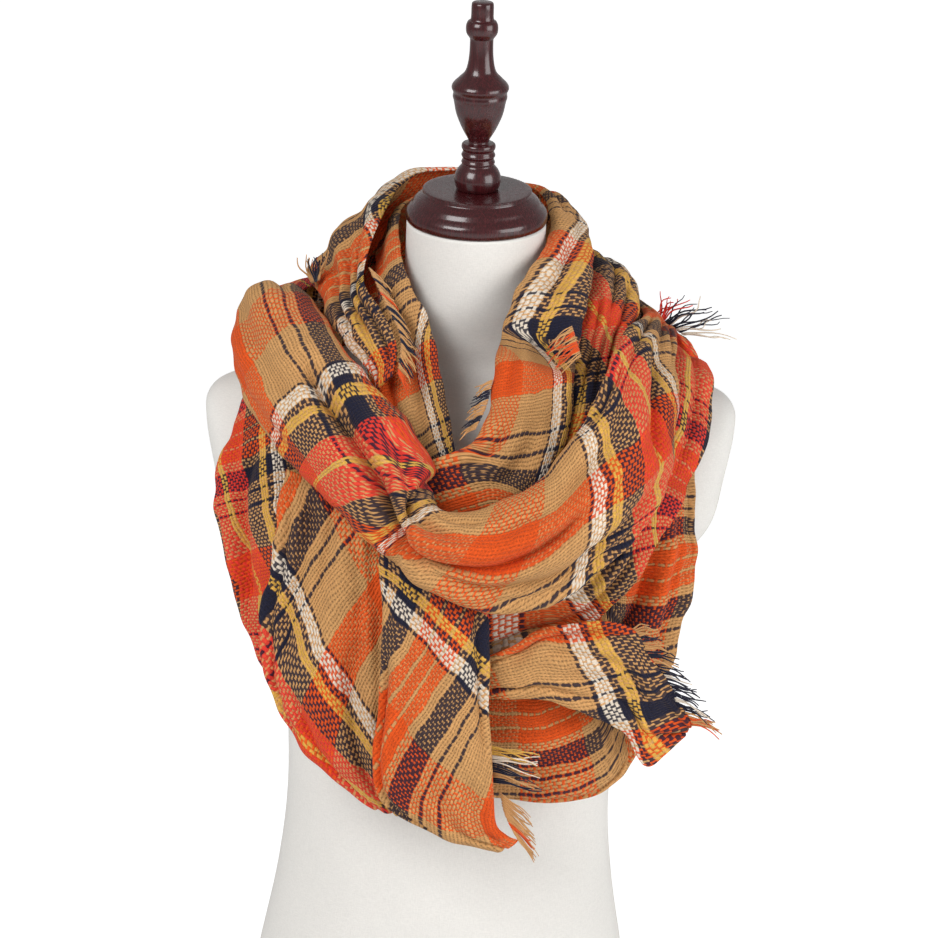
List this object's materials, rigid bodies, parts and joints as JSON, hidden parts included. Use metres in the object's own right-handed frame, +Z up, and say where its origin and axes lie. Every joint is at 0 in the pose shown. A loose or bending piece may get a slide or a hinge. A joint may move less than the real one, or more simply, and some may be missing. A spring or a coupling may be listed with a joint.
{
  "type": "blanket scarf on a dress form",
  "caption": "Plaid blanket scarf wound as a thick cowl round a limbless dress form with a turned wooden neck cap, with hanging folds and frayed edges.",
  "frame": {"origin": "on the flat face that the form stands on, below its neck", "axes": "+Z up, the front of the form and of the scarf faces -Y, +X to the right as seen from the front"},
  "size_m": [0.394, 0.3426, 0.8492],
  "materials": {
    "plaid_cloth": "soft woven wool-like cloth in a large plaid of tan, orange, red, navy, white and mustard",
    "yarn": "loose yarn of the frayed edges, in the plaid's own colours",
    "linen": "pale plain linen, drawn tight over the form",
    "dark_wood": "glossy dark red-brown lacquer"
  },
  "bodies": {
    "root": {"form_torso": "linen", "neck_cap": "dark_wood", "finial": "dark_wood", "neck_turn": "plaid_cloth", "collar": "plaid_cloth", "front_wrap": "plaid_cloth", "lower_turn": "plaid_cloth", "left_panel": "plaid_cloth", "center_panel": "plaid_cloth", "under_wrap": "plaid_cloth", "corner_flap": "plaid_cloth", "right_tail": "plaid_cloth", "flap_fringe": "yarn", "hem_fringe": "yarn", "tip_fringe": "yarn", "collar_fringe": "yarn", "shoulder_fringe": "yarn", "overlay_fringe": "yarn", "neck_fringe": "yarn", "tail_fringe": "yarn"}
  },
  "joints": []
}
